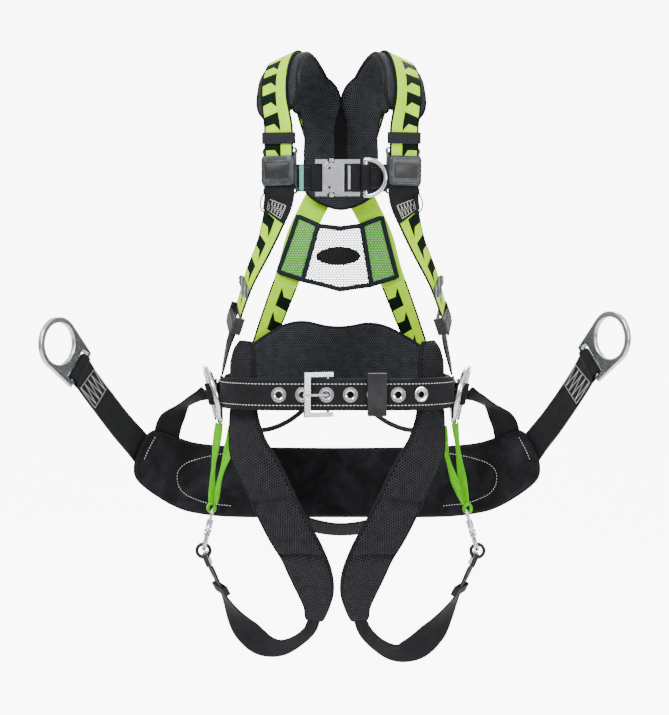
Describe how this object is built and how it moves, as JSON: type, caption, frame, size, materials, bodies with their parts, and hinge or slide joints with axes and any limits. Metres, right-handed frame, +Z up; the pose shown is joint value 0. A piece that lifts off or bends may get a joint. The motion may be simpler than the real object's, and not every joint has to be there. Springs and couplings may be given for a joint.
{
  "type": "tree climbing saddle",
  "caption": "Full-body tower and tree climbing harness with a padded waist belt, leg loops, a wide sling seat and steel attachment rings.",
  "frame": {"origin": "centre of the waist belt's opening, at half the height of the belt", "axes": "+Z up along the wearer's trunk, +Y from the wearer's chest to the back, +X to the wearer's left"},
  "size_m": [0.818, 0.3114, 0.8908],
  "materials": {
    "black_webbing": "woven polyester harness webbing",
    "patterned_webbing": "lime webbing woven with black chevrons",
    "lime_webbing": "plain lime webbing",
    "spacer_mesh": "black three-dimensional spacer mesh",
    "seat_fabric": "black napped cover fabric",
    "panel_mesh": "open warp-knit mesh",
    "panel_trim": "black binding tape",
    "grey_plastic": "moulded, fine texture",
    "black_plastic": "moulded, satin",
    "elastic": "covered elastic",
    "black_steel": "black coated steel",
    "forged_steel": "forged and plated, satin bright",
    "cast_alloy": "cast, fine bead-blasted"
  },
  "bodies": {
    "harness": {"belt_back_webbing": "black_webbing", "belt_buckle_strap": "black_webbing", "belt_tongue_strap": "black_webbing", "belt_grommets": "forged_steel", "lumbar_pad": "spacer_mesh", "right_leg_pad": "spacer_mesh", "left_leg_pad": "spacer_mesh", "right_leg_strap": "black_webbing", "left_leg_strap": "black_webbing", "seat_pad": "seat_fabric", "right_seat_ring_strap": "black_webbing", "left_seat_ring_strap": "black_webbing", "right_seat_link_strap": "black_webbing", "left_seat_link_strap": "black_webbing", "right_shoulder_webbing": "patterned_webbing", "left_shoulder_webbing": "patterned_webbing", "belt_link_straps": "black_webbing", "dorsal_pad": "spacer_mesh", "right_shoulder_pad": "spacer_mesh", "left_shoulder_pad": "spacer_mesh", "back_webbings": "lime_webbing", "back_panel_mesh": "panel_mesh", "back_panel_trim": "panel_trim", "dorsal_web_plate": "black_plastic", "right_chest_strap": "black_webbing", "left_chest_strap": "black_webbing", "strap_housings": "grey_plastic", "housing_covers": "grey_plastic", "right_cord_loop": "elastic", "left_cord_loop": "elastic", "gear_loops": "black_plastic", "hip_loops": "patterned_webbing", "sub_pelvic_strap": "black_webbing", "chest_buckle_female": "cast_alloy", "torso_adjusters": "black_steel", "leg_adjusters": "black_steel", "hip_ring_loops": "black_webbing", "right_snap_hook": "forged_steel", "left_snap_hook": "forged_steel"},
    "keeper": {"belt_keeper": "black_plastic"},
    "waist_frame": {"belt_buckle_frame": "forged_steel"},
    "waist_prong": {"belt_buckle_prong": "forged_steel"},
    "hip_ring_right": {"right_hip_d_ring": "forged_steel"},
    "hip_ring_left": {"left_hip_d_ring": "forged_steel"},
    "seat_ring_right": {"right_seat_d_ring": "forged_steel"},
    "seat_ring_left": {"left_seat_d_ring": "forged_steel"},
    "chest_ring": {"chest_d_ring": "forged_steel"},
    "back_ring": {"dorsal_d_ring": "forged_steel"},
    "chest_male": {"chest_buckle_male": "cast_alloy", "chest_strap_loop": "black_webbing"},
    "release_upper": {"chest_release_upper": "cast_alloy"},
    "release_lower": {"chest_release_lower": "cast_alloy"},
    "gate_right": {"right_snap_gate": "forged_steel"},
    "gate_left": {"left_snap_gate": "forged_steel"},
    "cam_right": {"right_cam_lever": "black_steel"},
    "cam_left": {"left_cam_lever": "black_steel"},
    "shoulder_keeper_right": {"right_shoulder_keeper": "elastic"},
    "shoulder_keeper_left": {"left_shoulder_keeper": "elastic"},
    "leg_keeper_right": {"right_leg_keeper": "black_plastic"},
    "leg_keeper_left": {"left_leg_keeper": "black_plastic"}
  },
  "joints": [
    {"name": "keeper_slide", "type": "slide", "parent": "harness", "child": "keeper", "axis": [1, 0, 0], "range_m": [-0.006, 0.006]},
    {"name": "buckle_frame_turn", "type": "hinge", "parent": "harness", "child": "waist_frame", "pos_m": [-0.013, -0.11075, 0], "axis": [0, 0, 1], "range_deg": [0, 5]},
    {"name": "buckle_prong_turn", "type": "hinge", "parent": "waist_frame", "child": "waist_prong", "pos_m": [-0.013, -0.11075, 0], "axis": [0, 0, 1], "range_deg": [0, 5]},
    {"name": "hip_ring_right_swing", "type": "hinge", "parent": "harness", "child": "hip_ring_right", "pos_m": [-0.181, -0.017, -0.004], "axis": [0.216, 0.1426, -0.9659], "range_deg": [0, 65]},
    {"name": "hip_ring_left_swing", "type": "hinge", "parent": "harness", "child": "hip_ring_left", "pos_m": [0.181, -0.017, -0.004], "axis": [0.216, -0.1426, 0.9659], "range_deg": [0, 65]},
    {"name": "seat_ring_right_swing", "type": "hinge", "parent": "harness", "child": "seat_ring_right", "pos_m": [-0.36323, -0.09497, 0.03567], "axis": [0.3964, 0.5285, 0.7507], "range_deg": [-50, 50]},
    {"name": "seat_ring_left_swing", "type": "hinge", "parent": "harness", "child": "seat_ring_left", "pos_m": [0.35623, -0.09497, 0.04367], "axis": [0.3964, -0.5285, -0.7507], "range_deg": [-50, 50]},
    {"name": "chest_ring_swing", "type": "hinge", "parent": "harness", "child": "chest_ring", "pos_m": [0.0393, -0.132, 0.302], "axis": [0, 0, -1], "range_deg": [0, 90]},
    {"name": "dorsal_ring_swing", "type": "hinge", "parent": "harness", "child": "back_ring", "pos_m": [0.006, 0.1446, 0.318], "axis": [1, 0, 0], "range_deg": [0, 110]},
    {"name": "chest_unplug", "type": "slide", "parent": "harness", "child": "chest_male", "axis": [-1, 0, 0], "range_m": [0, 0.014]},
    {"name": "release_upper_press", "type": "slide", "parent": "harness", "child": "release_upper", "axis": [0, 0, -1], "range_m": [0, 0.002], "stiffness_N_per_m": 300},
    {"name": "release_lower_press", "type": "slide", "parent": "harness", "child": "release_lower", "axis": [0, 0, 1], "range_m": [0, 0.002], "stiffness_N_per_m": 300},
    {"name": "gate_right_open", "type": "hinge", "parent": "harness", "child": "gate_right", "pos_m": [-0.18675, -0.021, -0.2024], "axis": [0.9749, 0, -0.2228], "range_deg": [0, 20], "stiffness_Nm_per_rad": 0.05},
    {"name": "gate_left_open", "type": "hinge", "parent": "harness", "child": "gate_left", "pos_m": [0.1952, -0.021, -0.2031], "axis": [0.9627, 0, 0.2707], "range_deg": [0, 20], "stiffness_Nm_per_rad": 0.05},
    {"name": "cam_right_open", "type": "hinge", "parent": "harness", "child": "cam_right", "pos_m": [-0.14746, -0.05158, 0.10681], "axis": [-0.1511, 0.8751, 0.4597], "range_deg": [0, 35]},
    {"name": "cam_left_open", "type": "hinge", "parent": "harness", "child": "cam_left", "pos_m": [0.15346, -0.05158, 0.10681], "axis": [-0.1511, -0.8751, -0.4597], "range_deg": [0, 35]},
    {"name": "shoulder_keeper_right_slide", "type": "slide", "parent": "harness", "child": "shoulder_keeper_right", "axis": [-0.0172, 0, 0.9999], "range_m": [-0.003, 0.003]},
    {"name": "shoulder_keeper_left_slide", "type": "slide", "parent": "harness", "child": "shoulder_keeper_left", "axis": [0.0172, 0, 0.9999], "range_m": [-0.003, 0.003]},
    {"name": "leg_keeper_right_slide", "type": "slide", "parent": "harness", "child": "leg_keeper_right", "axis": [-0.464, -0.1289, 0.8764], "range_m": [-0.006, 0.002]},
    {"name": "leg_keeper_left_slide", "type": "slide", "parent": "harness", "child": "leg_keeper_left", "axis": [0.4924, -0.1231, 0.8616], "range_m": [-0.006, 0.002]}
  ]
}
